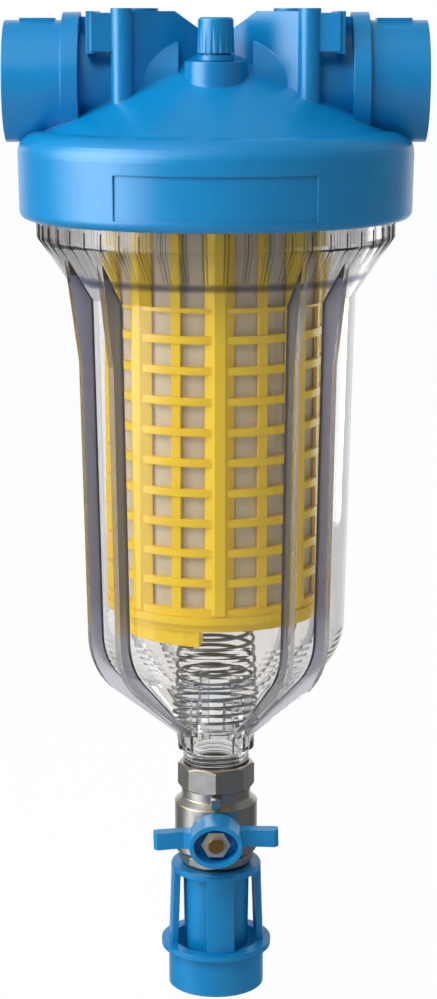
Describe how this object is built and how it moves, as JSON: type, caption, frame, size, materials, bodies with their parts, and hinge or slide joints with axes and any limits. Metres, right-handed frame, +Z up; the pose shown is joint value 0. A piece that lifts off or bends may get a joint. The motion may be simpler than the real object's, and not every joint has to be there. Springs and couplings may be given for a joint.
{
  "type": "self cleaning water filter",
  "caption": "Inline water filter with a blue ported head, clear finned bowl, caged mesh cartridge on a spring, drain ball valve with wing handle and an air gap tundish.",
  "frame": {"origin": "on the bowl's axis, in the plane of the four bracket bosses on top of the head", "axes": "+Z up along the bowl's axis, +X from the inlet port to the outlet port, the drain handle faces -Y"},
  "size_m": [0.2064, 0.196, 0.5067],
  "materials": {
    "blue_plastic": "satin moulded blue plastic",
    "pale_blue_plastic": "satin moulded blue plastic",
    "clear_plastic": "clear moulded plastic",
    "yellow_plastic": "moulded yellow plastic",
    "mesh": "fine woven mesh",
    "seal_rubber": "black rubber",
    "spring_steel": "drawn steel wire",
    "nickel_plate": "satin nickel plate",
    "chrome_ball": "polished chrome",
    "seat_plastic": "white low friction plastic",
    "stem_brass": "turned brass"
  },
  "bodies": {
    "head": {"head": "blue_plastic", "inlet_gauge_plug": "blue_plastic", "outlet_gauge_plug": "blue_plastic", "gauge_plug_seals": "seal_rubber"},
    "vent_seal": {"vent_seal": "seal_rubber"},
    "vent_screw": {"vent_screw": "blue_plastic"},
    "bowl_seal": {"bowl_seal": "seal_rubber"},
    "bowl": {"bowl": "clear_plastic", "spring": "spring_steel", "valve_body": "nickel_plate", "valve_end": "nickel_plate", "upper_seat": "seat_plastic", "lower_seat": "seat_plastic", "drain_tundish": "pale_blue_plastic", "tundish_gasket": "seal_rubber"},
    "cartridge": {"cartridge_cage": "yellow_plastic", "cartridge_top_cap": "yellow_plastic", "cartridge_bottom_cap": "yellow_plastic", "cartridge_screen": "mesh", "cartridge_seal": "seal_rubber"},
    "drain_handle": {"handle": "pale_blue_plastic", "handle_nut": "nickel_plate", "valve_stem": "stem_brass", "stem_seals": "seal_rubber", "thrust_washer": "seat_plastic", "valve_ball": "chrome_ball"}
  },
  "joints": [
    {"name": "vent_lift", "type": "slide", "parent": "head", "child": "vent_seal", "axis": [0, 0, 1], "range_m": [0, 0.003]},
    {"name": "vent_turn", "type": "hinge", "parent": "vent_seal", "child": "vent_screw", "pos_m": [0, -0.0275, -0.02], "axis": [0, 0, 1], "range_deg": [0, 720]},
    {"name": "bowl_drop", "type": "slide", "parent": "head", "child": "bowl_seal", "axis": [0, 0, -1], "range_m": [0, 0.024]},
    {"name": "bowl_turn", "type": "hinge", "parent": "bowl_seal", "child": "bowl", "pos_m": [0, 0, -0.1], "axis": [0, 0, -1], "range_deg": [0, 1080]},
    {"name": "cartridge_float", "type": "slide", "parent": "bowl", "child": "cartridge", "axis": [0, 0, -1], "range_m": [0, 0.01], "stiffness_N_per_m": 900, "springref_m": -0.012, "deforming": ["spring"]},
    {"name": "drain_turn", "type": "hinge", "parent": "bowl", "child": "drain_handle", "pos_m": [0, -0.03, -0.4165], "axis": [0, 1, 0], "range_deg": [0, 90]}
  ],
  "couplings": [
    {"joint": "vent_lift", "follows": "vent_turn", "m_per_rad": 0.00023873},
    {"joint": "bowl_drop", "follows": "bowl_turn", "m_per_rad": 0.0012732}
  ]
}
